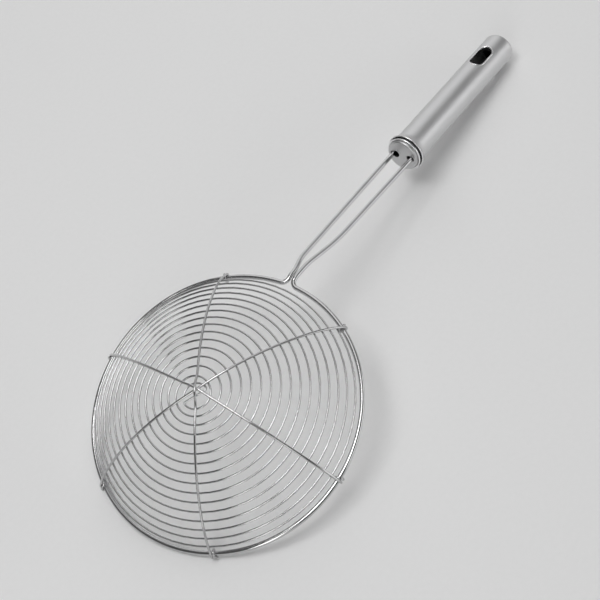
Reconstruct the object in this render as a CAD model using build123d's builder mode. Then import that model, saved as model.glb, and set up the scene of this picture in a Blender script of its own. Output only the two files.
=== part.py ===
from build123d import *

import os
from math import asin, atan2, cos, degrees, dist, exp, hypot, pi, radians, sin, sqrt, tan

# Spider skimmer: a shallow bowl of one spiral wire under three cross wires, in a wire hoop whose two
# ends run as tangs into a tubular handle. It lies face down, as on a table: the far edge of the hoop
# and the heel of the handle touch the ground plane, the back of the bowl is up and the handle runs
# along +X. The origin is the bottom centre of the whole object. Lengths are in millimetres.

os.makedirs("parts", exist_ok=True)

# Wires
frame_wire_d = 2.8
cross_wire_d = 1.4
spiral_wire_d = 1.1
frame_sides = 12
cross_sides = 4
spiral_sides = 4
weld_gap = 0.05  # left between two wires at a spot weld

# Hoop and neck
hoop_outer_d = 160.0
neck_bend_r = 4.2  # of the bend that turns the hoop into a tang, on the centre line
neck_gap = 0.5  # between the tangs where they are pinched together
neck_shift = 1.1  # of the pinched tangs to the left of the middle
handle_lean = 26.0  # degrees between the plane of the hoop and the handle

# Tangs, measured along the handle from the bend where it leaves the plane of the hoop
tang_lead = 1.8  # straight start in the plane of the hoop
tang_bend_r = 5.0
left_pinch_end = 4.2
left_splay_end = 14.5
left_splay_y = 5.4
left_splay_r = (14.0, 34.0)
right_pinch_end = 12.4
right_splay_end = 36.0
right_splay_y = 5.0
right_splay_r = (45.0, 110.0)
tang_end_y = 6.4  # of both tangs from the middle of the handle, at their ends

# Bowl, on the centre lines of the cross wires
bowl_depth_share = 0.247  # of the hoop diameter
crown_radius_share = 0.675
crown_join = 38.0  # degrees of slope where the crown goes over into the shoulder

# Cross wires
bottom_azimuths = (-31.5, 145.5)  # degrees from the handle, of both ends
middle_azimuths = (89.0, 264.0)
top_azimuths = (28.5, 205.0)
rise_run = 11.0  # from the hub to where a wire starts to climb over the one below
wrap_turns = 1.25
wrap_drift = 1.5  # sideways in the first turn round the hoop

# Spiral
spiral_turns = 15.48
spiral_start_azimuth = 162.0
spiral_start_s = 6.7  # on the meridian from the hub, without the swing
spiral_edge_s = 4.4  # kept between the outer end and the middle of the hoop
swing_outer = 0.7  # how far all turns lie off centre
swing_hub = 3.0
swing_fade = 1.56  # turns
swing_azimuth = 177.7
turn_stations = 2  # of the path in each turn
gap_step = 0.9  # between the points at which the gap between turns is measured

# Hook at the inner end of the spiral: half a circle closed by a straight run
hook_azimuth = 143.0
hook_offset = 2.55  # of the straight run from the hub
hook_centre = 2.3
hook_radius = 7.0
hook_free_angle = 22.0
hook_bend_r = 1.5
hook_run_end = 8.0

# Handle tube
tube_od = 19.8
tube_wall = 0.8
tube_length = 116.0
tang_length = 119.5  # from the bend of the tangs to the lip of the tube
lip_flare = 2.0
lip_run = 6.5
lip_mid = 3.2
lip_edge = 0.25
rounding_facets = 2
heel_edge_r = 2.6
heel_opening_r = 5.6

# Hanging slot with a drawn edge in the upper and the lower wall
slot_length = 18.6
slot_width = 8.6
slot_from_heel = 24.5
slot_collar_wall = 0.8
slot_collar_level = 7.1  # of its inner edge from the middle of the tube

# Front cap and bead ring
cap_reach = 4.2  # in front of the lip
cap_r = 10.0
cap_wall = 0.8
cap_edge = 0.6
cap_step_start = 1.2
cap_step_end = 2.6
cap_skirt_end = 9.0
fit_gap = 0.05
bead_d = 1.1
bead_sides = 6
bead_reach = 2.1
cap_hole_d = 3.3
left_lobe_d = 4.6  # of the wider lobe of each hole, towards the middle
left_lobe_shift = 2.0
right_lobe_d = 3.9
right_lobe_shift = 1.5

# Anchor of the tangs and closing disc
anchor_depth = 20.0
anchor_length = 6.0
heel_disc_wall = 0.9
heel_disc_skirt = 6.0

# Worked out: wires and neck
frame_r = frame_wire_d / 2
cross_r = cross_wire_d / 2
spiral_r = spiral_wire_d / 2
tube_r = tube_od / 2
bore_r = tube_r - tube_wall
skirt_r = bore_r - fit_gap
hoop_r = hoop_outer_d / 2 - frame_r
left_neck_y = neck_shift + frame_r + neck_gap / 2
right_neck_y = neck_shift - frame_r - neck_gap / 2
left_bend_y = left_neck_y + neck_bend_r
right_bend_y = right_neck_y - neck_bend_r
left_neck_x = sqrt((hoop_r + neck_bend_r) ** 2 - left_bend_y**2)
right_neck_x = sqrt((hoop_r + neck_bend_r) ** 2 - right_bend_y**2)
left_neck_azimuth = degrees(atan2(left_bend_y, left_neck_x))
right_neck_azimuth = degrees(atan2(right_bend_y, right_neck_x))
drop_x = right_neck_x + tang_lead
lean = radians(handle_lean)

# Worked out: the meridian, a crown arc and a shoulder arc that runs on into the wrap round the hoop
bowl_depth = bowl_depth_share * hoop_outer_d
crown_radius = crown_radius_share * hoop_outer_d
wrap_r = frame_r + cross_r + weld_gap
crown_y = bowl_depth - crown_radius
join = radians(crown_join)
join_to_hoop = Vector(crown_radius * sin(join) - hoop_r, crown_y + crown_radius * cos(join))
join_reach = join_to_hoop.dot(Vector(sin(join), cos(join)))
shoulder_radius = (join_to_hoop.dot(join_to_hoop) - wrap_r**2) / (2 * (join_reach - wrap_r))
shoulder_x = (crown_radius - shoulder_radius) * sin(join)
shoulder_y = crown_y + (crown_radius - shoulder_radius) * cos(join)
edge = atan2(hoop_r - shoulder_x, -shoulder_y)
spiral_inset = cross_r + spiral_r + weld_gap
spiral_crown_r = crown_radius - spiral_inset
spiral_shoulder_r = shoulder_radius - spiral_inset
spiral_end_s = spiral_crown_r * join + spiral_shoulder_r * (edge - join) - spiral_edge_s

# Worked out: the pose, in which the hoop and the heel of the handle touch the ground
round_x = tang_length + tube_length - heel_edge_r
round_y = tube_r - heel_edge_r
heel_x = drop_x + round_x * cos(lean) - round_y * sin(lean)
heel_z = -round_x * sin(lean) - round_y * cos(lean)
heel_span = hypot(heel_x + hoop_r, heel_z)
tilt = atan2(-heel_z, heel_x + hoop_r) + asin((heel_edge_r - frame_r) / heel_span)
top_x = drop_x + round_x * cos(lean) + round_y * sin(lean)
top_z = -round_x * sin(lean) + round_y * cos(lean)
near_end = -hoop_r * cos(tilt) - frame_r
far_end = top_x * cos(tilt) - top_z * sin(tilt) + heel_edge_r
hoop_plane = Plane(
    origin=(-(near_end + far_end) / 2, 0, hoop_r * sin(tilt) + frame_r),
    x_dir=(cos(tilt), 0, sin(tilt)),
    z_dir=(-sin(tilt), 0, cos(tilt)),
)


def handle_plane(reach, x_axis, z_axis):
    """A plane on the axis of the handle, reach behind the lip of the tube."""
    along = tang_length + reach
    start = (drop_x + along * cos(lean), 0, -along * sin(lean))
    axes = {"front": (cos(lean), 0, -sin(lean)), "side": (0, 1, 0), "up": (sin(lean), 0, cos(lean))}
    origin = hoop_plane.from_local_coords(start)
    x_end, z_end = (
        hoop_plane.from_local_coords(tuple(a + b for a, b in zip(start, axes[name])))
        for name in (x_axis, z_axis)
    )
    return Plane(origin=origin, x_dir=x_end - origin, z_dir=z_end - origin)


def arc(start, start_dir, end):
    """The arc that leaves start along start_dir and reaches end, in the frame of the hoop."""
    chord = end - start
    half_turn = start_dir.get_angle(chord) / 2
    lift = start_dir.normalized() - chord.normalized() * cos(2 * radians(half_turn))
    middle = (start + end) * 0.5 + lift.normalized() * (chord.length / 2 * tan(radians(half_turn)))
    ThreePointArc(tuple(start), tuple(middle), tuple(end))


def biarc(start, start_dir, end, end_dir):
    """Two arcs that leave start along start_dir and reach end along end_dir."""
    t0, t1 = start_dir.normalized(), end_dir.normalized()
    chord = end - start
    square = 2 * (1 - t0.dot(t1))
    linear = chord.dot(t0 + t1)
    reach = chord.dot(chord) / (linear + sqrt(linear**2 + square * chord.dot(chord)))
    middle = (start + end + (t0 - t1) * reach) * 0.5
    arc(start, t0, middle)
    arc(middle, (end - t1 * reach) - (start + t0 * reach), end)


def tang(neck_x, neck_y, pinch_end, splay_end, splay_y, end_y, radii):
    """Centre line of one tang from the neck to its end in the handle."""
    tang_end = tang_length + anchor_depth + anchor_length
    stations = [(pinch_end, neck_y), (splay_end, splay_y), (tang_end, end_y)]
    run = [(drop_x + u * cos(lean), v, -u * sin(lean)) for u, v in stations]
    FilletPolyline((neck_x, neck_y, 0), (drop_x, neck_y, 0), *run, radius=[tang_bend_r, *radii])


def rounding(x, y, radius):
    """Corner points of a rounded heel edge, from the side of the tube to its end face."""
    turns = [k * pi / 2 / rounding_facets for k in range(rounding_facets + 1)]
    return [(x + radius * sin(turn), y - radius * cos(turn)) for turn in turns]


handle_axis = Axis(handle_plane(0, "front", "up").origin, handle_plane(0, "front", "up").x_dir)

# Frame wire: one wire for the hoop, the neck and both tangs
with BuildPart() as frame_wire:
    with BuildLine(hoop_plane) as frame_path:
        tang(
            right_neck_x,
            right_neck_y,
            right_pinch_end,
            right_splay_end,
            -right_splay_y,
            -tang_end_y,
            right_splay_r,
        )
        right_turn = 90 + right_neck_azimuth
        CenterArc((right_neck_x, right_bend_y), neck_bend_r, 90, right_turn)
        hoop_turn = 360 + right_neck_azimuth - left_neck_azimuth
        CenterArc((0, 0), hoop_r, left_neck_azimuth, hoop_turn)
        left_turn = 90 - left_neck_azimuth
        CenterArc((left_neck_x, left_bend_y), neck_bend_r, 180 + left_neck_azimuth, left_turn)
        tang(
            left_neck_x,
            left_neck_y,
            left_pinch_end,
            left_splay_end,
            left_splay_y,
            tang_end_y,
            left_splay_r,
        )
    frame_line = frame_path.wire()
    with BuildSketch(Plane(origin=frame_line @ 0, z_dir=frame_line % 0)):
        RegularPolygon(frame_r, frame_sides, rotation=degrees(tilt))
    sweep(path=frame_line)
frame_wire.part.label = "frame_wire"
export_step(frame_wire.part, "parts/frame_wire.step")


def cross_half(azimuth, hub_azimuth, rise):
    """Centre line of half a cross wire, from the hub to its end wrapped round the hoop."""
    out = Vector(cos(radians(azimuth)), sin(radians(azimuth)), 0)
    aside = Vector(-out.Y, out.X, 0)
    up = Vector(0, 0, 1)
    hub = up * (bowl_depth + rise)
    hub_dir = Vector(cos(radians(hub_azimuth)), sin(radians(hub_azimuth)), 0)
    foot_angle = asin(rise_run / crown_radius)
    foot = out * (crown_radius * sin(foot_angle)) + up * (crown_y + crown_radius * cos(foot_angle))
    foot_dir = out * cos(foot_angle) - up * sin(foot_angle)
    biarc(hub, hub_dir, foot, foot_dir)
    joint = out * (crown_radius * sin(join)) + up * (crown_y + crown_radius * cos(join))
    arc(foot, foot_dir, joint)
    at = out * (hoop_r + wrap_r * sin(edge)) + up * (wrap_r * cos(edge))
    at_dir = out * cos(edge) - up * sin(edge)
    arc(joint, out * cos(join) - up * sin(join), at)
    for k in range(1, round(4 * wrap_turns) + 1):
        turn = edge + k * pi / 2
        drift = aside * (wrap_drift * (k / 4) ** 2)
        step = out * (hoop_r + wrap_r * sin(turn)) + up * (wrap_r * cos(turn)) + drift
        drift_dir = aside * (2 * wrap_drift * k / 4 / (2 * pi))
        step_dir = (out * cos(turn) - up * sin(turn)) * wrap_r + drift_dir
        biarc(at, at_dir, step, step_dir)
        at, at_dir = step, step_dir


# Cross wires: three single wires, each of the later two bent up over the earlier at the hub
cross_rise = cross_wire_d + weld_gap
with BuildPart() as cross_wire_bottom:
    with BuildLine(hoop_plane) as bottom_path:
        first, second = bottom_azimuths
        hub_azimuth = (first + second) / 2 - 90
        cross_half(first, hub_azimuth, 0)
        cross_half(second, hub_azimuth + 180, 0)
    bottom_line = bottom_path.wire()
    with BuildSketch(Plane(origin=bottom_line @ 0, z_dir=bottom_line % 0)):
        RegularPolygon(cross_r, cross_sides)
    sweep(path=bottom_line)
cross_wire_bottom.part.label = "cross_wire_bottom"
export_step(cross_wire_bottom.part, "parts/cross_wire_bottom.step")

with BuildPart() as cross_wire_middle:
    with BuildLine(hoop_plane) as middle_path:
        first, second = middle_azimuths
        hub_azimuth = (first + second) / 2 - 90
        cross_half(first, hub_azimuth, cross_rise)
        cross_half(second, hub_azimuth + 180, cross_rise)
    middle_line = middle_path.wire()
    with BuildSketch(Plane(origin=middle_line @ 0, z_dir=middle_line % 0)):
        RegularPolygon(cross_r, cross_sides)
    sweep(path=middle_line)
cross_wire_middle.part.label = "cross_wire_middle"
export_step(cross_wire_middle.part, "parts/cross_wire_middle.step")

with BuildPart() as cross_wire_top:
    with BuildLine(hoop_plane) as top_path:
        first, second = top_azimuths
        hub_azimuth = (first + second) / 2 - 90
        cross_half(first, hub_azimuth, 2 * cross_rise)
        cross_half(second, hub_azimuth + 180, 2 * cross_rise)
    top_line = top_path.wire()
    with BuildSketch(Plane(origin=top_line @ 0, z_dir=top_line % 0)):
        RegularPolygon(cross_r, cross_sides)
    sweep(path=top_line)
cross_wire_top.part.label = "cross_wire_top"
export_step(cross_wire_top.part, "parts/cross_wire_top.step")


def spiral_station(turns):
    """Point and direction of the spiral, a number of turns from where it leaves the hook."""
    share = turns / spiral_turns
    azimuth = radians(spiral_start_azimuth) + 2 * pi * turns
    swing_turn = azimuth - radians(swing_azimuth)
    swing = swing_outer + swing_hub * exp(-turns / swing_fade)
    swing_slope = -swing_hub / swing_fade * exp(-turns / swing_fade) / (2 * pi)
    span = spiral_end_s - spiral_start_s
    s = spiral_start_s + span * share + swing * cos(swing_turn)
    s_slope = span / spiral_turns / (2 * pi) + swing_slope * cos(swing_turn) - swing * sin(swing_turn)
    slope = s / spiral_crown_r
    reach, height = spiral_crown_r * sin(slope), crown_y + spiral_crown_r * cos(slope)
    if slope > join:
        slope = join + (s - spiral_crown_r * join) / spiral_shoulder_r
        reach = shoulder_x + spiral_shoulder_r * sin(slope)
        height = shoulder_y + spiral_shoulder_r * cos(slope)
    out = Vector(cos(azimuth), sin(azimuth), 0)
    aside = Vector(-out.Y, out.X, 0)
    run = out * (cos(slope) * s_slope) + aside * reach - Vector(0, 0, sin(slope) * s_slope)
    return out * reach + Vector(0, 0, height), run


def hook_station(x, y, x_run, y_run):
    """Point and direction on the crown, where x runs along the straight run of the hook."""
    turn = radians(hook_azimuth)
    along, across = Vector(cos(turn), sin(turn), 0), Vector(sin(turn), -cos(turn), 0)
    depth = sqrt(spiral_crown_r**2 - x**2 - y**2)
    run = along * x_run + across * y_run - Vector(0, 0, (x * x_run + y * y_run) / depth)
    return along * x + across * y + Vector(0, 0, crown_y + depth), run


# Spiral wire: hook, corner and fifteen and a half turns, each of two arcs a half turn
bend_run = sqrt((hook_radius - hook_bend_r) ** 2 - hook_bend_r**2)
bend_x = hook_centre - bend_run
bend_out = atan2(hook_bend_r, -bend_run)
spiral_stations = []
for k in range(3):
    turn = radians(hook_free_angle) + (bend_out - radians(hook_free_angle)) * k / 2
    spiral_stations.append(
        hook_station(
            hook_centre + hook_radius * cos(turn),
            hook_radius * sin(turn) - hook_offset,
            -sin(turn),
            cos(turn),
        )
    )
spiral_stations.append(hook_station(bend_x - hook_bend_r, hook_bend_r - hook_offset, 0, -1))
spiral_stations.append(hook_station(bend_x, -hook_offset, 1, 0))
spiral_stations.append(hook_station(hook_run_end, -hook_offset, 1, 0))
for k in range(int(spiral_turns * turn_stations) + 1):
    spiral_stations.append(spiral_station(k / turn_stations))
spiral_stations.append(spiral_station(spiral_turns))

with BuildPart() as spiral_wire:
    with BuildLine(hoop_plane) as spiral_path:
        for first, second in zip(spiral_stations, spiral_stations[1:]):
            biarc(*first, *second)
    spiral_line = spiral_path.wire()
    with BuildSketch(Plane(origin=spiral_line @ 0, z_dir=spiral_line % 0)):
        RegularPolygon(spiral_r, spiral_sides)
    sweep(path=spiral_line)
spiral_wire.part.label = "spiral_wire"
export_step(spiral_wire.part, "parts/spiral_wire.step")

# The least gap between two stretches of the spiral wire, on points along it
point_count = int(spiral_line.length / gap_step)
gap_points = [tuple(p) for p in spiral_line.positions([k / point_count for k in range(point_count + 1)])]
skip = int(5 * spiral_wire_d / gap_step)
least = min(dist(p, q) for k, p in enumerate(gap_points) for q in gap_points[k + skip :])
print("spiral wire, least gap to itself:", round(least - spiral_wire_d, 2))

# Handle tube: flared lip, plain run, heel rolled inward round an opening
with BuildPart() as slot_collars:
    with BuildSketch(handle_plane(tube_length - slot_from_heel, "front", "up")):
        SlotOverall(slot_length + 2 * slot_collar_wall, slot_width + 2 * slot_collar_wall)
    extrude(amount=tube_r, both=True)
    with BuildSketch(handle_plane(tube_length - slot_from_heel, "side", "front")):
        Circle(tube_r - tube_wall / 2)
    extrude(amount=slot_length, both=True, mode=Mode.INTERSECT)
    with BuildSketch(handle_plane(tube_length - slot_from_heel, "front", "up")):
        Rectangle(2 * slot_length, 2 * slot_length)
    extrude(amount=slot_collar_level, both=True, mode=Mode.SUBTRACT)

with BuildPart() as handle_tube:
    with BuildSketch(handle_plane(0, "front", "side")):
        with BuildLine():
            Polyline(
                (lip_run, -tube_r),
                *rounding(tube_length - heel_edge_r, heel_edge_r - tube_r, heel_edge_r),
                (tube_length, -heel_opening_r),
                (tube_length - tube_wall, -heel_opening_r),
                *rounding(tube_length - heel_edge_r, heel_edge_r - tube_r, heel_edge_r - tube_wall)[::-1],
                (lip_run, -bore_r),
                (lip_mid, -bore_r - lip_flare / 4),
                (0, -bore_r - lip_flare),
                (-lip_edge, -bore_r - lip_flare - lip_edge),
                (-lip_edge, -tube_r - lip_flare + lip_edge),
                (0, -tube_r - lip_flare),
                (lip_mid, -tube_r - lip_flare / 4),
                close=True,
            )
        make_face()
    revolve(axis=handle_axis)
    add(slot_collars.part)
    with BuildSketch(handle_plane(tube_length - slot_from_heel, "front", "up")):
        SlotOverall(slot_length, slot_width)
    extrude(amount=2 * tube_r, both=True, mode=Mode.SUBTRACT)
handle_tube.part.label = "handle_tube"
export_step(handle_tube.part, "parts/handle_tube.step")

# Front cap: a stepped cup with two holes for the tangs
with BuildPart() as front_cap:
    with BuildSketch(handle_plane(0, "front", "side")):
        with BuildLine():
            Polyline(
                (-cap_reach, 0),
                (-cap_reach, cap_edge - cap_r),
                (cap_edge - cap_reach, -cap_r),
                (cap_step_start, -cap_r),
                (cap_step_end, -skirt_r),
                (cap_skirt_end, -skirt_r),
                (cap_skirt_end, cap_wall - skirt_r),
                (cap_step_end, cap_wall - skirt_r),
                (cap_step_start, cap_wall - cap_r),
                (cap_wall - cap_reach, cap_wall - cap_r),
                (cap_wall - cap_reach, 0),
                close=True,
            )
        make_face()
    revolve(axis=handle_axis)
    with BuildSketch(handle_plane(-cap_reach, "side", "front")):
        with Locations((tang_end_y, 0), (-tang_end_y, 0)):
            Circle(cap_hole_d / 2)
        with Locations((tang_end_y - left_lobe_shift, 0)):
            Circle(left_lobe_d / 2)
        with Locations((right_lobe_shift - tang_end_y, 0)):
            Circle(right_lobe_d / 2)
    extrude(amount=2 * cap_wall, both=True, mode=Mode.SUBTRACT)
front_cap.part.label = "front_cap"
export_step(front_cap.part, "parts/front_cap.step")

# Bead ring round the cap in front of the lip
with BuildPart() as bead_ring:
    with BuildSketch(handle_plane(0, "front", "side")):
        with Locations((-bead_reach, -cap_r - fit_gap - bead_d / 2)):
            RegularPolygon(bead_d / 2, bead_sides)
    revolve(axis=handle_axis)
bead_ring.part.label = "bead_ring"
export_step(bead_ring.part, "parts/bead_ring.step")

# Anchor: a disc in the tube that holds both tangs
with BuildPart() as wire_anchor:
    with BuildSketch(handle_plane(anchor_depth, "side", "front")):
        Circle(skirt_r)
        with Locations((tang_end_y, 0), (-tang_end_y, 0)):
            Circle(frame_r + fit_gap, mode=Mode.SUBTRACT)
    extrude(amount=anchor_length)
wire_anchor.part.label = "wire_anchor"
export_step(wire_anchor.part, "parts/wire_anchor.step")

# Closing disc behind the rolled heel
disc_x = tube_length - tube_wall - fit_gap
disc_edge_r = heel_edge_r - tube_wall
round_start = disc_x - disc_edge_r
with BuildPart() as heel_disc:
    with BuildSketch(handle_plane(0, "front", "side")):
        with BuildLine():
            Polyline(
                (disc_x, 0),
                *rounding(round_start, disc_edge_r - skirt_r, disc_edge_r)[::-1],
                (disc_x - heel_disc_skirt, -skirt_r),
                (disc_x - heel_disc_skirt, heel_disc_wall - skirt_r),
                *rounding(round_start, disc_edge_r - skirt_r, disc_edge_r - heel_disc_wall),
                (disc_x - heel_disc_wall, 0),
                close=True,
            )
        make_face()
    revolve(axis=handle_axis)
heel_disc.part.label = "heel_disc"
export_step(heel_disc.part, "parts/heel_disc.step")
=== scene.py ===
from math import asin, atan2, ceil, cos, exp, hypot, pi, radians, sin, sqrt, tan

import bmesh
import bpy
from mathutils import Euler, Matrix, Vector


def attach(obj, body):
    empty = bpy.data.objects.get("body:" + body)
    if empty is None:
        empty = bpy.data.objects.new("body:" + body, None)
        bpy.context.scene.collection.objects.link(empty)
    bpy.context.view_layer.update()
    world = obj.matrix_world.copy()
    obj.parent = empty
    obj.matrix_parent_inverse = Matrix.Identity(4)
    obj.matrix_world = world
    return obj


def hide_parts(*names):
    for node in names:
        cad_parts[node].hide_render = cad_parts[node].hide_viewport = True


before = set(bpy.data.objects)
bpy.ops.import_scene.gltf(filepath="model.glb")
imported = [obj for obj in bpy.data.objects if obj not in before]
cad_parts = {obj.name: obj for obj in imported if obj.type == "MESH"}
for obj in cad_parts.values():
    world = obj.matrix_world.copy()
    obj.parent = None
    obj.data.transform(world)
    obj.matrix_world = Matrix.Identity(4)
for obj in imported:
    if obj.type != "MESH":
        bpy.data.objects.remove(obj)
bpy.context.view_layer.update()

# The skimmer lies face down. Wires are drawn in the frame of the hoop and the handle in its own;
# hoop_to_row and handle_to_row take both into the shared frame, and mm turns millimetres into metres
mm = 0.001

# The sizes of the part's source: lengths in millimetres, azimuths of the cross wires in degrees
frame_r, cross_r, spiral_r = 1.4, 0.7, 0.55
weld_gap = 0.05
hoop_r = 78.6
neck_bend_r, neck_gap, neck_shift = 4.2, 0.5, 1.1
lean = radians(26.0)
tang_lead, tang_bend_r = 1.8, 5.0
left_run = (4.2, 14.5, 5.4, (14.0, 34.0))
right_run = (12.4, 36.0, -5.0, (45.0, 110.0))
tang_end_y = 6.4
bowl_depth, crown_radius, join = 39.52, 108.0, radians(38.0)
bottom_azimuths, middle_azimuths, top_azimuths = (-31.5, 145.5), (89.0, 264.0), (28.5, 205.0)
rise_run, wrap_turns, wrap_drift = 11.0, 1.25, 1.5
spiral_turns, spiral_start_azimuth, spiral_start_s, spiral_edge_s = 15.48, radians(162.0), 6.7, 4.4
swing_outer, swing_hub, swing_fade, swing_azimuth = 0.7, 3.0, 1.56, radians(177.7)
hook_azimuth, hook_offset, hook_centre, hook_radius = radians(143.0), 2.55, 2.3, 7.0
hook_free_angle, hook_bend_r, hook_run_end = radians(22.0), 1.5, 8.0
tube_r, tube_wall, tube_length, tang_length = 9.9, 0.8, 116.0, 119.5
lip_flare, lip_run, heel_edge_r, heel_opening_r = 2.0, 6.5, 2.6, 5.6
slot_length, slot_width, slot_from_heel = 18.6, 8.6, 24.5
cap_reach, cap_r, cap_wall, cap_edge = 4.2, 10.0, 0.8, 1.2
cap_step_start, cap_step_end, cap_skirt_end, fit_gap = 1.2, 2.6, 9.0, 0.05
bead_d, bead_reach = 1.1, 2.1
cap_hole_d, left_lobe, right_lobe = 3.3, (4.6, 2.0), (3.9, 1.5)
anchor_depth, anchor_length = 20.0, 6.0

# Sizes of the dressing alone: lengths in millimetres, the rim's angles in degrees
# The first of these is how far from the lip's end the faces take the lighter steel: polish and a painted
# highlight on the rim
lip_polish_and_highlight, hem_r = 0.5, 0.35
slot_roll, slot_ridge, slot_level = 0.9, 0.3, 7.1
slot_hem = ((0.0, 0.15), (0.12, 0.0), (0.6, 0.0), (0.7, 0.12))
slot_hem_back, slot_hem_drop = 0.75, 0.4
rim_from, rim_to = 265, 95
slot_cut_reach, hole_cut_reach, weld_reach = 14.0, 2.0, 0.002
# Shares of a wire's radius, of half the wall and of the cap's radius
wire_end_share, wire_end_run_share, rim_share, cap_flat_share = 0.78, 0.2, 0.98, 0.5

# Fineness of the meshes: steps in millimetres, turns in radians and counts
hub_step, stay_step, tang_step, hook_step = 0.6, 1.5, 2.0, 0.5
arc_turn, sharp_turn = radians(7.0), radians(38.0)
hoop_steps, neck_steps, wrap_steps, turn_steps = 420, 14, 96, 64
frame_sides, cross_sides, spiral_sides = 20, 14, 12
tube_sides, cap_sides, hole_sides, bead_sides = 144, 96, 36, 16
arc_steps, edge_steps, tube_steps = 12, 8, 60
slot_end_steps, slot_side_steps, roll_steps = 24, 6, 9

# Surface of the steel: fine grain and broad clouds, with clouds per metre and relief in metres
grain_share, cloud_share, cloud_scale = 0.6, 0.4, 38.0
grain_detail, grain_rough, cloud_detail = 6.0, 0.62, 3.0
mix_low, mix_high, relief_depth = 0.3, 0.7, 0.00004
dark_blue_share, light_blue_share = 1.01, 1.005
# Texture coordinates of the slot's edges, in metres for each step
edge_uv_along, edge_uv_across = 0.0005, 0.0002

# Worked out as in the part's source
bore_r = tube_r - tube_wall
skirt_r = bore_r - fit_gap
neck_ys = {1: neck_shift + frame_r + neck_gap / 2, -1: neck_shift - frame_r - neck_gap / 2}
bend_ys = {side: neck_ys[side] + side * neck_bend_r for side in (1, -1)}
neck_xs = {side: sqrt((hoop_r + neck_bend_r) ** 2 - bend_ys[side] ** 2) for side in (1, -1)}
neck_turns = {side: atan2(bend_ys[side], neck_xs[side]) for side in (1, -1)}
drop_x = neck_xs[-1] + tang_lead
wrap_r = frame_r + cross_r + weld_gap
crown_y = bowl_depth - crown_radius
reach_x, reach_y = crown_radius * sin(join) - hoop_r, crown_y + crown_radius * cos(join)
join_reach = reach_x * sin(join) + reach_y * cos(join)
shoulder_radius = (reach_x**2 + reach_y**2 - wrap_r**2) / (2 * (join_reach - wrap_r))
shoulder_x = (crown_radius - shoulder_radius) * sin(join)
shoulder_y = crown_y + (crown_radius - shoulder_radius) * cos(join)
edge = atan2(hoop_r - shoulder_x, -shoulder_y)
spiral_inset = cross_r + spiral_r + weld_gap
spiral_crown_r = crown_radius - spiral_inset
spiral_shoulder_r = shoulder_radius - spiral_inset
spiral_end_s = spiral_crown_r * join + spiral_shoulder_r * (edge - join) - spiral_edge_s
round_x, round_y = tang_length + tube_length - heel_edge_r, tube_r - heel_edge_r
heel_x = drop_x + round_x * cos(lean) - round_y * sin(lean)
heel_z = -round_x * sin(lean) - round_y * cos(lean)
tilt = atan2(-heel_z, heel_x + hoop_r) + asin((heel_edge_r - frame_r) / hypot(heel_x + hoop_r, heel_z))
near_end = -hoop_r * cos(tilt) - frame_r
top_x = drop_x + round_x * cos(lean) + round_y * sin(lean)
top_z = -round_x * sin(lean) + round_y * cos(lean)
far_end = top_x * cos(tilt) - top_z * sin(tilt) + heel_edge_r
hoop_place = Matrix.Translation((-(near_end + far_end) / 2, 0, hoop_r * sin(tilt) + frame_r))
hoop_to_row = hoop_place @ Matrix.Rotation(-tilt, 4, "Y")
lip = Vector((drop_x + tang_length * cos(lean), 0, -tang_length * sin(lean)))
handle_to_hoop = Matrix.Translation(lip) @ Matrix.Rotation(lean, 4, "Y")
handle_to_row = hoop_to_row @ handle_to_hoop


# Materials: tone and roughness follow a fine grain mixed with broad clouds
def steel(name, dark, light, rough, spread, grain, bump, space="UV"):
    """A metal between the tones dark and light, whose roughness lies within spread of rough."""
    material = bpy.data.materials.new(name)
    material.use_nodes = True
    tree = material.node_tree
    shader = tree.nodes["Principled BSDF"]
    shader.inputs["Metallic"].default_value = 1.0
    coordinates = tree.nodes.new("ShaderNodeTexCoord")
    stretch = tree.nodes.new("ShaderNodeMapping")
    stretch.inputs["Scale"].default_value = grain
    fine = tree.nodes.new("ShaderNodeTexNoise")
    fine.inputs["Scale"].default_value = 1.0
    fine.inputs["Detail"].default_value = grain_detail
    fine.inputs["Roughness"].default_value = grain_rough
    broad = tree.nodes.new("ShaderNodeTexNoise")
    broad.inputs["Scale"].default_value = cloud_scale
    broad.inputs["Detail"].default_value = cloud_detail
    tone = tree.nodes.new("ShaderNodeMix")
    tone.data_type = "RGBA"
    tone.inputs["A"].default_value = (dark, dark, dark * dark_blue_share, 1)
    tone.inputs["B"].default_value = (light, light, light * light_blue_share, 1)
    level = tree.nodes.new("ShaderNodeMapRange")
    level.inputs["From Min"].default_value = mix_low
    level.inputs["From Max"].default_value = mix_high
    level.inputs["To Min"].default_value = rough - spread
    level.inputs["To Max"].default_value = rough + spread
    mixed = tree.nodes.new("ShaderNodeMath")
    mixed.operation = "MULTIPLY_ADD"
    mixed.inputs[1].default_value = grain_share
    cloud = tree.nodes.new("ShaderNodeMath")
    cloud.operation = "MULTIPLY"
    cloud.inputs[1].default_value = cloud_share
    relief = tree.nodes.new("ShaderNodeBump")
    relief.inputs["Strength"].default_value = bump
    relief.inputs["Distance"].default_value = relief_depth
    link = tree.links.new
    link(coordinates.outputs[space], stretch.inputs["Vector"])
    link(coordinates.outputs["Object"], broad.inputs["Vector"])
    link(stretch.outputs["Vector"], fine.inputs["Vector"])
    link(broad.outputs["Fac"], cloud.inputs[0])
    link(fine.outputs["Fac"], mixed.inputs[0])
    link(cloud.outputs["Value"], mixed.inputs[2])
    link(mixed.outputs["Value"], level.inputs["Value"])
    link(mixed.outputs["Value"], tone.inputs["Factor"])
    link(tone.outputs["Result"], shader.inputs["Base Color"])
    link(level.outputs["Result"], shader.inputs["Roughness"])
    link(fine.outputs["Fac"], relief.inputs["Height"])
    link(relief.outputs["Normal"], shader.inputs["Normal"])
    return material


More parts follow.
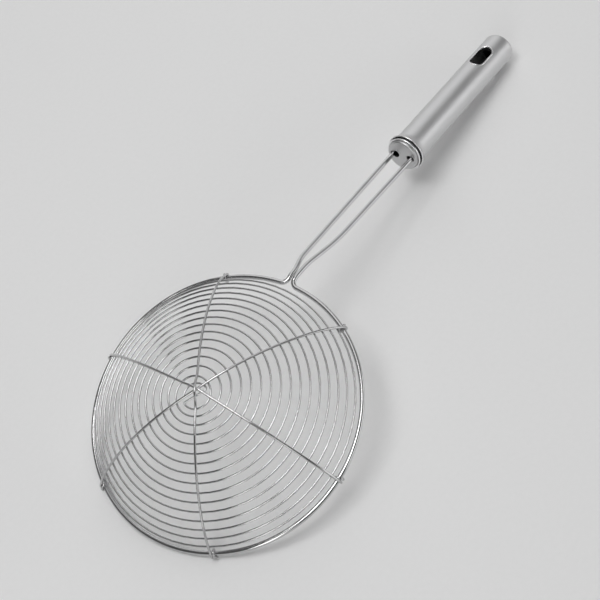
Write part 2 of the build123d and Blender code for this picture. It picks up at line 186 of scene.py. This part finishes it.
wire_steel = steel("polished_frame_wire", 0.46, 0.64, 0.1, 0.04, (60, 1500, 1), 0.25)
cross_steel = steel("polished_cross_wire", 0.4, 0.6, 0.11, 0.04, (60, 1500, 1), 0.2)
thin_steel = steel("polished_spiral_wire", 0.4, 0.6, 0.1, 0.04, (60, 1500, 1), 0.2)
handle_steel = steel("satin_handle", 0.6, 0.72, 0.5, 0.05, (25, 2600, 1), 0.35)
cap_steel = steel("satin_cap", 0.46, 0.62, 0.36, 0.08, (900, 900, 1), 0.35)
bead_steel = steel("polished_bead", 0.74, 0.9, 0.24, 0.05, (600, 600, 1), 0.2)
# Lighter steel for the slot's rolled edges and the lip's rim: the edges are polished, and their lighter
# tone is a painted highlight
polish_and_highlight_steel = steel("polished_edge_painted_highlight", 0.74, 0.92, 0.26, 0.05, (600, 600, 1), 0.2)
# Near-black steel: painted shade for the hidden hem inside the slot and the parts inside the handle, not
# the steel's own tone
shade_painted_steel = steel("painted_shade_inner_steel", 0.05, 0.1, 0.55, 0.1, (900, 900, 900), 0.4, "Object")
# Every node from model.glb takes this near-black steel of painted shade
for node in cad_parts.values():
    for place in node.material_slots:
        place.material = shade_painted_steel


# Centre lines
def arc_points(start, start_dir, end, step):
    """Points on the arc that leaves start along start_dir and reaches end, without its start."""
    chord = end - start
    ahead = start_dir.normalized()
    aside = chord - ahead * chord.dot(ahead)
    if aside.length < 1e-6 * chord.length:
        count = max(1, ceil(chord.length / step))
        return [start + chord * (k / count) for k in range(1, count + 1)]
    turn = 2 * ahead.angle(chord)
    radius = chord.length / (2 * sin(turn / 2))
    aside.normalize()
    count = max(2, ceil(radius * turn / step), ceil(turn / arc_turn))
    turns = [turn * k / count for k in range(1, count + 1)]
    return [start + radius * (ahead * sin(t) + aside * (1 - cos(t))) for t in turns]


def biarc_points(start, start_dir, end, end_dir, step):
    """Points on two arcs that meet smoothly, from start to end, without the start."""
    t0, t1 = start_dir.normalized(), end_dir.normalized()
    chord = end - start
    square, linear = 2 * (1 - t0.dot(t1)), chord.dot(t0 + t1)
    reach = chord.length_squared / (linear + sqrt(linear**2 + square * chord.length_squared))
    middle = (start + end + (t0 - t1) * reach) * 0.5
    first = arc_points(start, t0, middle, step)
    return first + arc_points(middle, (end - t1 * reach) - (start + t0 * reach), end, step)


def filleted(corners, radii, step):
    """Points on the path through corners, each inner one rounded by its radius."""
    points = [corners[0]]
    for before, corner, after, radius in zip(corners, corners[1:], corners[2:], radii):
        come, go = (corner - before).normalized(), (after - corner).normalized()
        cut = radius * tan(come.angle(go) / 2)
        points += arc_points(points[-1], come, corner - come * cut, step)
        points += arc_points(corner - come * cut, come, corner + go * cut, step)
    return points + arc_points(points[-1], corners[-1] - corners[-2], corners[-1], step)


def tang_points(side):
    """From the neck to the end of the tang in the anchor disc; side is 1 for the left tang."""
    pinch_end, splay_end, splay_y, radii = left_run if side > 0 else right_run
    end = tang_length + anchor_depth + anchor_length
    stations = [(pinch_end, neck_ys[side]), (splay_end, splay_y), (end, side * tang_end_y)]
    corners = [Vector((neck_xs[side], neck_ys[side], 0)), Vector((drop_x, neck_ys[side], 0))]
    corners += [Vector((drop_x + u * cos(lean), v, -u * sin(lean))) for u, v in stations]
    return filleted(corners, [tang_bend_r, *radii], tang_step)


def neck_points(side):
    """From the line of the tang to the hoop."""
    turn = pi / 2 - abs(neck_turns[side])
    spots = []
    for k in range(1, neck_steps):
        t = turn * k / neck_steps
        x, y = neck_xs[side] - neck_bend_r * sin(t), bend_ys[side] - side * neck_bend_r * cos(t)
        spots.append(Vector((x, y, 0)))
    return spots


def frame_points():
    """The whole bent wire: the left tang, round the hoop, and back along the right tang."""
    round_turn = 2 * pi + neck_turns[-1] - neck_turns[1]
    hoop_turns = [neck_turns[1] + round_turn * k / hoop_steps for k in range(hoop_steps + 1)]
    hoop = [Vector((hoop_r * cos(t), hoop_r * sin(t), 0)) for t in hoop_turns]
    left = tang_points(1)[::-1] + neck_points(1)
    right = tang_points(-1)[::-1] + neck_points(-1)
    return left + hoop + right[::-1]


def cross_half(azimuth, hub_azimuth, rise):
    """The hub and the points from it over the dome to the hoop and round it."""
    out = Vector((cos(azimuth), sin(azimuth), 0))
    aside = Vector((-out.y, out.x, 0))
    up = Vector((0, 0, 1))
    hub = up * (bowl_depth + rise)
    foot_angle = asin(rise_run / crown_radius)
    foot = out * (crown_radius * sin(foot_angle)) + up * (crown_y + crown_radius * cos(foot_angle))
    foot_dir = out * cos(foot_angle) - up * sin(foot_angle)
    points = biarc_points(hub, Vector((cos(hub_azimuth), sin(hub_azimuth), 0)), foot, foot_dir, hub_step)
    joint = out * (crown_radius * sin(join)) + up * (crown_y + crown_radius * cos(join))
    points += arc_points(foot, foot_dir, joint, stay_step)
    at = out * (hoop_r + wrap_r * sin(edge)) + up * (wrap_r * cos(edge))
    points += arc_points(joint, out * cos(join) - up * sin(join), at, stay_step)
    for k in range(1, wrap_steps + 1):
        turns = wrap_turns * k / wrap_steps
        turn = edge + 2 * pi * turns
        drift = aside * (wrap_drift * turns**2)
        points.append(out * (hoop_r + wrap_r * sin(turn)) + up * (wrap_r * cos(turn)) + drift)
    return hub, points


def cross_points(azimuths, rise):
    """A whole cross wire, which runs rise above the lowest one at the hub."""
    first, second = (radians(a) for a in azimuths)
    hub_azimuth = (first + second) / 2 - pi / 2
    hub, one = cross_half(first, hub_azimuth, rise)
    hub, other = cross_half(second, hub_azimuth + pi, rise)
    return one[::-1] + [hub] + other


def spiral_station(turns):
    """The place and direction of the spiral after so many turns."""
    azimuth = spiral_start_azimuth + 2 * pi * turns
    swing_turn = azimuth - swing_azimuth
    swing = swing_outer + swing_hub * exp(-turns / swing_fade)
    swing_slope = -swing_hub / swing_fade * exp(-turns / swing_fade) / (2 * pi)
    span = spiral_end_s - spiral_start_s
    s = spiral_start_s + span * turns / spiral_turns + swing * cos(swing_turn)
    s_slope = span / spiral_turns / (2 * pi) + swing_slope * cos(swing_turn) - swing * sin(swing_turn)
    slope = s / spiral_crown_r
    reach, height = spiral_crown_r * sin(slope), crown_y + spiral_crown_r * cos(slope)
    if slope > join:
        slope = join + (s - spiral_crown_r * join) / spiral_shoulder_r
        reach = shoulder_x + spiral_shoulder_r * sin(slope)
        height = shoulder_y + spiral_shoulder_r * cos(slope)
    out = Vector((cos(azimuth), sin(azimuth), 0))
    aside = Vector((-out.y, out.x, 0))
    run = out * (cos(slope) * s_slope) + aside * reach - Vector((0, 0, sin(slope) * s_slope))
    return out * reach + Vector((0, 0, height)), run


def hook_station(x, y, x_run, y_run):
    """A place and direction on the crown; x lies along the straight run of the hook, y across it."""
    along = Vector((cos(hook_azimuth), sin(hook_azimuth), 0))
    across = Vector((sin(hook_azimuth), -cos(hook_azimuth), 0))
    depth = sqrt(spiral_crown_r**2 - x**2 - y**2)
    run = along * x_run + across * y_run - Vector((0, 0, (x * x_run + y * y_run) / depth))
    return along * x + across * y + Vector((0, 0, crown_y + depth)), run


def spiral_points():
    """The hook, the run from it to the spiral, and the spiral."""
    bend_run = sqrt((hook_radius - hook_bend_r) ** 2 - hook_bend_r**2)
    bend_x = hook_centre - bend_run
    bend_out = atan2(hook_bend_r, -bend_run)
    stations = []
    for t in (hook_free_angle, (hook_free_angle + bend_out) / 2, bend_out):
        x, y = hook_centre + hook_radius * cos(t), hook_radius * sin(t) - hook_offset
        stations.append(hook_station(x, y, -sin(t), cos(t)))
    stations.append(hook_station(bend_x - hook_bend_r, hook_bend_r - hook_offset, 0, -1))
    stations.append(hook_station(bend_x, -hook_offset, 1, 0))
    stations.append(hook_station(hook_run_end, -hook_offset, 1, 0))
    stations.append(spiral_station(0))
    points = [stations[0][0]]
    for first, second in zip(stations, stations[1:]):
        points += biarc_points(*first, *second, hook_step)
    count = round(turn_steps * spiral_turns)
    # The last station is left out, so the wire ends under the bottom cross wire
    points += [spiral_station(spiral_turns * k / count)[0] for k in range(1, count)]
    return points


# Mesh makers
def placed(name, data):
    """A new object in the scene, which shows data."""
    item = bpy.data.objects.new(name, data)
    bpy.context.scene.collection.objects.link(item)
    return item


def settled(mesh, name):
    """The mesh as data for an object; the working mesh is freed."""
    data = bpy.data.meshes.new(name)
    mesh.to_mesh(data)
    mesh.free()
    return data


def finished(name, mesh, material, slot, *replaced):
    """Put the mesh into the scene as a piece of the root body, in place of the replaced nodes."""
    piece = placed(name, mesh)
    mesh.materials.clear()
    mesh.materials.append(material)
    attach(piece, "root")
    if replaced:
        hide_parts(*replaced)


def wire(name, points, radius, sides, material, slot, *replaced):
    """A round wire along points in the frame of the hoop, with softly cut ends."""
    line = [mm * (hoop_to_row @ p) for p in points]
    r = mm * radius
    start, end = (line[0] - line[1]).normalized(), (line[-1] - line[-2]).normalized()
    tip_r, tip_run = wire_end_share * r, wire_end_run_share * r
    rings = [(line[0], tip_r), (line[0] - start * tip_run, r)]
    rings += [(p, r) for p in line[1:-1]]
    rings += [(line[-1] - end * tip_run, r), (line[-1], tip_r)]
    spots = [spot for spot, _ in rings]
    ahead = (spots[1] - spots[0]).normalized()
    side = ahead.orthogonal().normalized()
    mesh = bmesh.new()
    uv = mesh.loops.layers.uv.new("wire")
    turns = [2 * pi * j / sides for j in range(sides)]
    around = 2 * pi * r / sides
    loops, lengths, run = [], [], 0.0
    for k, (spot, ring_r) in enumerate(rings):
        forth = spots[min(k + 1, len(spots) - 1)] - spots[max(k - 1, 0)]
        forth.normalize()
        side = (side - forth * side.dot(forth)).normalized()
        over = forth.cross(side)
        run += (spot - spots[max(k - 1, 0)]).length
        lengths.append(run)
        loops.append([mesh.verts.new(spot + ring_r * (side * cos(t) + over * sin(t))) for t in turns])
    for k in range(len(loops) - 1):
        for j in range(sides):
            n = (j + 1) % sides
            face = mesh.faces.new((loops[k][j], loops[k][n], loops[k + 1][n], loops[k + 1][j]))
            face.smooth = True
            places = ((k, j), (k, j + 1), (k + 1, j + 1), (k + 1, j))
            for loop, (row, turn) in zip(face.loops, places):
                loop[uv].uv = (lengths[row], turn * around)
    mesh.faces.new(loops[0][::-1])
    mesh.faces.new(loops[-1])
    finished(name, settled(mesh, name), material, slot, *replaced)


def lathe(name, profile, steps):
    """A closed ring of (along, radius) points in millimetres, turned about the axis of the handle."""
    mesh = bmesh.new()
    uv = mesh.loops.layers.uv.new("lathe")
    runs = [0.0]
    for (x0, r0), (x1, r1) in zip(profile, profile[1:] + profile[:1]):
        runs.append(runs[-1] + hypot(x1 - x0, r1 - r0) * mm)
    turns = [2 * pi * j / steps for j in range(steps)]
    rings = []
    for x, r in profile:
        if r == 0:
            rings.append([mesh.verts.new(mm * (handle_to_row @ Vector((x, 0, 0))))] * steps)
            continue
        spots = [Vector((x, r * cos(t), r * sin(t))) for t in turns]
        rings.append([mesh.verts.new(mm * (handle_to_row @ spot)) for spot in spots])
    count = len(rings)
    for k in range(count):
        low, high = rings[k], rings[(k + 1) % count]
        if low[0] is low[1] and high[0] is high[1]:
            continue
        for j in range(steps):
            n = (j + 1) % steps
            corners = [(low[j], k, j), (low[n], k, j + 1), (high[n], k + 1, j + 1), (high[j], k + 1, j)]
            kept = []
            for corner in corners:
                if all(corner[0] is not other[0] for other in kept):
                    kept.append(corner)
            face = mesh.faces.new([corner[0] for corner in kept])
            face.smooth = True
            for loop, (_, row, turn) in zip(face.loops, kept):
                loop[uv].uv = (runs[row], turn * 2 * pi * mm * tube_r / steps)
    bmesh.ops.recalc_face_normals(mesh, faces=mesh.faces)
    return settled(mesh, name)


def turned(centre_x, centre_r, radius, start, end, count):
    """Points of an arc in a lathe profile; angles in degrees from the axis towards the outside."""
    spots = []
    for k in range(count + 1):
        t = radians(start + (end - start) * k / count)
        spots.append((centre_x + radius * cos(t), centre_r + radius * sin(t)))
    return spots


def obround(length, width, count):
    """Points and outward directions round a slot, in its own plane."""
    straight, r = (length - width) / 2, width / 2
    spots = []
    for end in (1, -1):
        for k in range(count + 1):
            t = -pi / 2 + pi * k / count if end > 0 else pi / 2 + pi * k / count
            spots.append((end * straight + r * cos(t), r * sin(t), cos(t), sin(t)))
        for k in range(1, slot_side_steps):
            x = end * straight * (1 - 2 * k / slot_side_steps)
            spots.append((x, end * r, 0.0, float(end)))
    return spots


def prism(outline, to_row, reach):
    """A closed prism to cut with, which runs reach to either side of the plane of its outline."""
    mesh = bmesh.new()
    low = [mesh.verts.new(mm * (to_row @ Vector((x, y, -reach)))) for x, y in outline]
    high = [mesh.verts.new(mm * (to_row @ Vector((x, y, reach)))) for x, y in outline]
    count = len(outline)
    for k in range(count):
        n = (k + 1) % count
        mesh.faces.new((low[k], low[n], high[n], high[k]))
    mesh.faces.new(low[::-1])
    mesh.faces.new(high)
    bmesh.ops.recalc_face_normals(mesh, faces=mesh.faces)
    return settled(mesh, "cutter")


def cut(data, cutters):
    """The mesh with the cutters taken out of it."""
    body = placed("cut_body", data)
    for cutter_data in cutters:
        cutter = placed("cutter", cutter_data)
        step = body.modifiers.new("cut", "BOOLEAN")
        step.operation = "DIFFERENCE"
        step.solver = "EXACT"
        step.object = cutter
        bpy.context.view_layer.update()
        seen = body.evaluated_get(bpy.context.evaluated_depsgraph_get())
        baked = bpy.data.meshes.new_from_object(seen)
        body.modifiers.clear()
        body.data = baked
        bpy.data.objects.remove(cutter)
    result = body.data
    bpy.data.objects.remove(body)
    mesh = bmesh.new()
    mesh.from_mesh(result)
    bmesh.ops.remove_doubles(mesh, verts=mesh.verts, dist=mm * weld_reach)
    bmesh.ops.dissolve_degenerate(mesh, dist=mm * weld_reach, edges=mesh.edges)
    mesh.to_mesh(result)
    mesh.free()
    for face in result.polygons:
        face.use_smooth = True
    result.set_sharp_from_angle(angle=sharp_turn)
    return result


# Wires
wire("frame_wire_round", frame_points(), frame_r, frame_sides, wire_steel, "frame_steel", "frame_wire")
cross_rise = 2 * cross_r + weld_gap
for name, azimuths, rise in (
    ("cross_wire_bottom", bottom_azimuths, 0.0),
    ("cross_wire_middle", middle_azimuths, cross_rise),
    ("cross_wire_top", top_azimuths, 2 * cross_rise),
):
    route = cross_points(azimuths, rise)
    wire(name + "_round", route, cross_r, cross_sides, cross_steel, "cross_steel", name)
route = spiral_points()
wire("spiral_wire_round", route, spiral_r, spiral_sides, thin_steel, "spiral_steel", "spiral_wire")


# Handle tube with rolled heel, flared lip and the slot through both walls
def tube_profile():
    """The wall of the tube, from its rim along the outside to the heel and back along the inside."""
    lip_arc_r = (lip_run**2 + lip_flare**2) / (2 * lip_flare)
    lip_turn = asin(lip_run / lip_arc_r)
    outer, inner = [], []
    for k in range(arc_steps + 1):
        t = lip_turn * (1 - k / arc_steps)
        x, flare = lip_run - lip_arc_r * sin(t), lip_arc_r * (1 - cos(t))
        outer.append((x, tube_r + flare))
        inner.append((x, bore_r + flare))
    rim_x, rim_r = (outer[0][0] + inner[0][0]) / 2, (outer[0][1] + inner[0][1]) / 2
    spots = turned(rim_x, rim_r, tube_wall / 2 * rim_share, rim_from, rim_to, edge_steps) + outer[1:]
    heel_x, heel_r = tube_length - heel_edge_r, tube_r - heel_edge_r
    spots += [(lip_run + (heel_x - lip_run) * k / tube_steps, tube_r) for k in range(1, tube_steps)]
    spots += turned(heel_x, heel_r, heel_edge_r, 90, 0, arc_steps)
    spots += turned(tube_length - hem_r, heel_opening_r + hem_r, hem_r, 0, -90, edge_steps // 2)
    spots += [(tube_length - tube_wall, heel_opening_r)]
    spots += turned(heel_x, heel_r, heel_edge_r - tube_wall, 0, 90, edge_steps)
    return spots + inner[::-1]


slot_to_row = handle_to_row @ Matrix.Translation((tube_length - slot_from_heel, 0, 0))
slot_outline = obround(slot_length + 2 * slot_roll, slot_width + 2 * slot_roll, slot_end_steps)
slot_cutter = prism([spot[:2] for spot in slot_outline], slot_to_row, slot_cut_reach)
tube_mesh = cut(lathe("handle_tube_turned", tube_profile(), tube_sides), [slot_cutter])
finished("handle_tube_turned", tube_mesh, handle_steel, "handle_steel", "handle_tube")
# The lip's rim takes the lighter steel: polish with a painted highlight
tube_mesh.materials.append(polish_and_highlight_steel)
row_to_handle = handle_to_row.inverted()
for face in tube_mesh.polygons:
    face.material_index = int((row_to_handle @ (face.center / mm)).x < lip_polish_and_highlight)


def slot_edge(name, way):
    """The drawn edge that rolls from the tube's surface into the slot, and its hem inside."""
    outline = obround(slot_length, slot_width, slot_end_steps)
    # Each row: offset from the slot, drop below the tube's surface or else height over its axis
    rows = []
    for k in range(roll_steps + 1):
        t = pi / 2 * k / roll_steps
        drop = slot_roll * (1 - cos(t)) - slot_ridge * sin(2 * t)
        rows.append((slot_roll * (1 - sin(t)), drop, None))
    rows += [(offset, None, slot_level + rise) for offset, rise in slot_hem]
    rows += [(slot_hem_back, slot_roll + slot_hem_drop, None)]
    mesh = bmesh.new()
    uv = mesh.loops.layers.uv.new("edge")
    rings = []
    for offset, drop, level in rows:
        ring = []
        for x, y, out_x, out_y in outline:
            side = y + out_y * offset
            height = sqrt(tube_r**2 - side**2) - drop if level is None else level
            spot = Vector((x + out_x * offset, side, way * height))
            ring.append(mesh.verts.new(mm * (slot_to_row @ spot)))
        rings.append(ring)
    for k in range(len(rings)):
        low, high = rings[k], rings[(k + 1) % len(rings)]
        for j in range(len(outline)):
            n = (j + 1) % len(outline)
            face = mesh.faces.new((low[j], low[n], high[n], high[j]))
            face.smooth = True
            for loop, (row, turn) in zip(face.loops, ((k, j), (k, j + 1), (k + 1, j + 1), (k + 1, j))):
                loop[uv].uv = (turn * edge_uv_along, row * edge_uv_across)
    bmesh.ops.recalc_face_normals(mesh, faces=mesh.faces)
    data = settled(mesh, name)
    # The rolled edge takes the lighter steel, a painted highlight on polish; the hem inside takes the
    # near-black steel, painted shade
    finished(name, data, polish_and_highlight_steel, "handle_steel")
    data.materials.append(shade_painted_steel)
    for k, face in enumerate(data.polygons):
        face.material_index = int(k >= roll_steps * len(outline))


slot_edge("slot_edge_upper", 1)
slot_edge("slot_edge_lower", -1)


# Front cap with two oversize holes, and the bead ring on it
def cap_profile():
    """The wall of the cap, from the middle of its face round its edge and back inside."""
    spots = [(-cap_reach, 0), (-cap_reach, cap_r * cap_flat_share)]
    spots += turned(cap_edge - cap_reach, cap_r - cap_edge, cap_edge, 180, 90, edge_steps)
    spots += [(cap_step_start, cap_r), (cap_step_end, skirt_r), (cap_skirt_end, skirt_r)]
    spots += [(cap_skirt_end, skirt_r - cap_wall), (cap_step_end, skirt_r - cap_wall)]
    spots += [(cap_step_start, cap_r - cap_wall), (cap_wall - cap_reach, cap_r - cap_wall)]
    return spots + [(cap_wall - cap_reach, 0)]


def cap_cutters():
    """Each hole is a round one at its tang and a wider one beside it, towards the middle."""
    face_to_row = handle_to_row @ Matrix.Translation((-cap_reach, 0, 0)) @ Matrix.Rotation(pi / 2, 4, "Y")
    turns = [2 * pi * k / hole_sides for k in range(hole_sides)]
    cutters = []
    for side, (lobe_d, lobe_shift) in ((1, left_lobe), (-1, right_lobe)):
        for middle, hole_d in ((tang_end_y, cap_hole_d), (tang_end_y - lobe_shift, lobe_d)):
            outline = [(hole_d / 2 * sin(t), side * middle + hole_d / 2 * cos(t)) for t in turns]
            cutters.append(prism(outline, face_to_row, hole_cut_reach))
    return cutters


cap_mesh = cut(lathe("front_cap_turned", cap_profile(), cap_sides), cap_cutters())
finished("front_cap_turned", cap_mesh, cap_steel, "cap_steel", "front_cap")
bead_r = bead_d / 2
section = turned(-bead_reach, cap_r + fit_gap + bead_r, bead_r, 0, 360 - 360 / bead_sides, bead_sides - 1)
bead_mesh = lathe("bead_ring_turned", section, cap_sides)
finished("bead_ring_turned", bead_mesh, bead_steel, "bead_steel", "bead_ring")

# Floor of pale paper: half its width and its drop in metres, fibres per metre
floor_half, floor_drop, floor_cells = 1.3, 0.0002, 4
fibre_scale, paper_dark, paper_light, paper_rough = 900.0, 0.84, 0.87, 0.9
mesh = bmesh.new()
bmesh.ops.create_grid(mesh, x_segments=floor_cells, y_segments=floor_cells, size=floor_half)
floor_mesh = settled(mesh, "floor")
floor = placed("floor", floor_mesh)
floor.location.z = -floor_drop
paper = bpy.data.materials.new("pale_paper")
paper.use_nodes = True
tree = paper.node_tree
shader = tree.nodes["Principled BSDF"]
shader.inputs["Roughness"].default_value = paper_rough
fibres = tree.nodes.new("ShaderNodeTexNoise")
fibres.inputs["Scale"].default_value = fibre_scale
shade = tree.nodes.new("ShaderNodeMix")
shade.data_type = "RGBA"
shade.inputs["A"].default_value = (paper_dark, paper_dark, paper_dark, 1)
shade.inputs["B"].default_value = (paper_light, paper_light, paper_light, 1)
tree.links.new(fibres.outputs["Fac"], shade.inputs["Factor"])
tree.links.new(shade.outputs["Result"], shader.inputs["Base Color"])
floor_mesh.materials.append(paper)

# Light: a pale backdrop all round, a darker band above it, a lighter zenith, and soft lamps
sky_levels = ((0.0, 0.5), (0.2, 0.46), (0.4, 0.08), (0.85, 0.08), (1.0, 0.3))
world = bpy.data.worlds.new("room")
bpy.context.scene.world = world
world.use_nodes = True
tree = world.node_tree
back = tree.nodes["Background"]
sight = tree.nodes.new("ShaderNodeTexCoord")
split = tree.nodes.new("ShaderNodeSeparateXYZ")
rising = tree.nodes.new("ShaderNodeValToRGB")
stops = rising.color_ramp.elements
for place, level in sky_levels:
    stop = stops[0] if place == 0 else stops[-1] if place == 1 else stops.new(place)
    stop.color = (level, level, level, 1)
tree.links.new(sight.outputs["Generated"], split.inputs["Vector"])
tree.links.new(split.outputs["Z"], rising.inputs["Fac"])
tree.links.new(rising.outputs["Color"], back.inputs["Color"])


def lamp(name, place, aim, size, power):
    """A rectangular lamp at place, turned towards aim, in metres and watts."""
    data = bpy.data.lights.new(name, "AREA")
    data.shape = "RECTANGLE"
    data.size, data.size_y = size
    data.energy = power
    item = placed(name, data)
    item.location = place
    item.rotation_euler = (Vector(aim) - Vector(place)).to_track_quat("-Z", "Y").to_euler()


handle_aim, bowl_aim, low_bowl_aim = (0.12, 0, 0.03), (-0.1, 0, 0.03), (-0.1, 0, 0)
lamp("broad_softbox", (0.62, 0.41, 1.04), handle_aim, (1.2, 2.5), 8.4)
lamp("low_strip", (0.98, -1.76, 0.42), handle_aim, (2.2, 0.8), 7.8)
lamp("overhead", (-0.45, 0.1, 1.5), low_bowl_aim, (0.8, 0.5), 7.6)
lamp("front_strip", (-1.7, -0.8, 0.9), bowl_aim, (0.5, 1.2), 6.4)

# Camera, as the photograph was taken: place in metres, turns in degrees, focal length in pixels
camera_place = (-0.420679, -0.398018, 0.738411)
camera_turns = (36.5372159, 10.3858704, -57.4282237)
focal_pixels, picture_pixels, sensor_width, sight_end = 1591.54, 600, 36.0, 20.0
camera_data = bpy.data.cameras.new("photo_camera")
camera_data.sensor_width = sensor_width
camera_data.lens = focal_pixels / picture_pixels * sensor_width
camera_data.clip_end = sight_end
camera = placed("photo_camera", camera_data)
camera_turn = Euler([radians(t) for t in camera_turns]).to_matrix()
camera.matrix_world = Matrix.Translation(camera_place) @ camera_turn.to_4x4()
bpy.context.scene.camera = camera

bpy.context.scene.view_settings.view_transform = "Standard"
